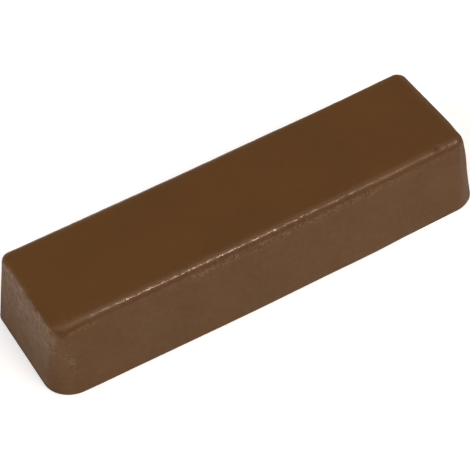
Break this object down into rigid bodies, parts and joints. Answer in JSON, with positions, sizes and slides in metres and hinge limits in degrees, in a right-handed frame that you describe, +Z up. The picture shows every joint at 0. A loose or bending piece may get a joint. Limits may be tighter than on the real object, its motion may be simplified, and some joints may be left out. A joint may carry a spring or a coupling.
{
  "type": "furniture repair wax stick",
  "caption": "Bare bar of brown furniture repair wax, cast with drafted walls, round corners, a rounded top edge and a slightly sunk poured face underneath.",
  "frame": {"origin": "middle of the poured face, on the plane that the bar rests on", "axes": "+X along the bar, +Y across it, +Z up from the poured face to the top face"},
  "size_m": [0.08, 0.0232, 0.0144],
  "materials": {
    "wax": "satin pigmented wax with a faint pale bloom"
  },
  "bodies": {
    "root": {"wax_bar": "wax"}
  },
  "joints": []
}
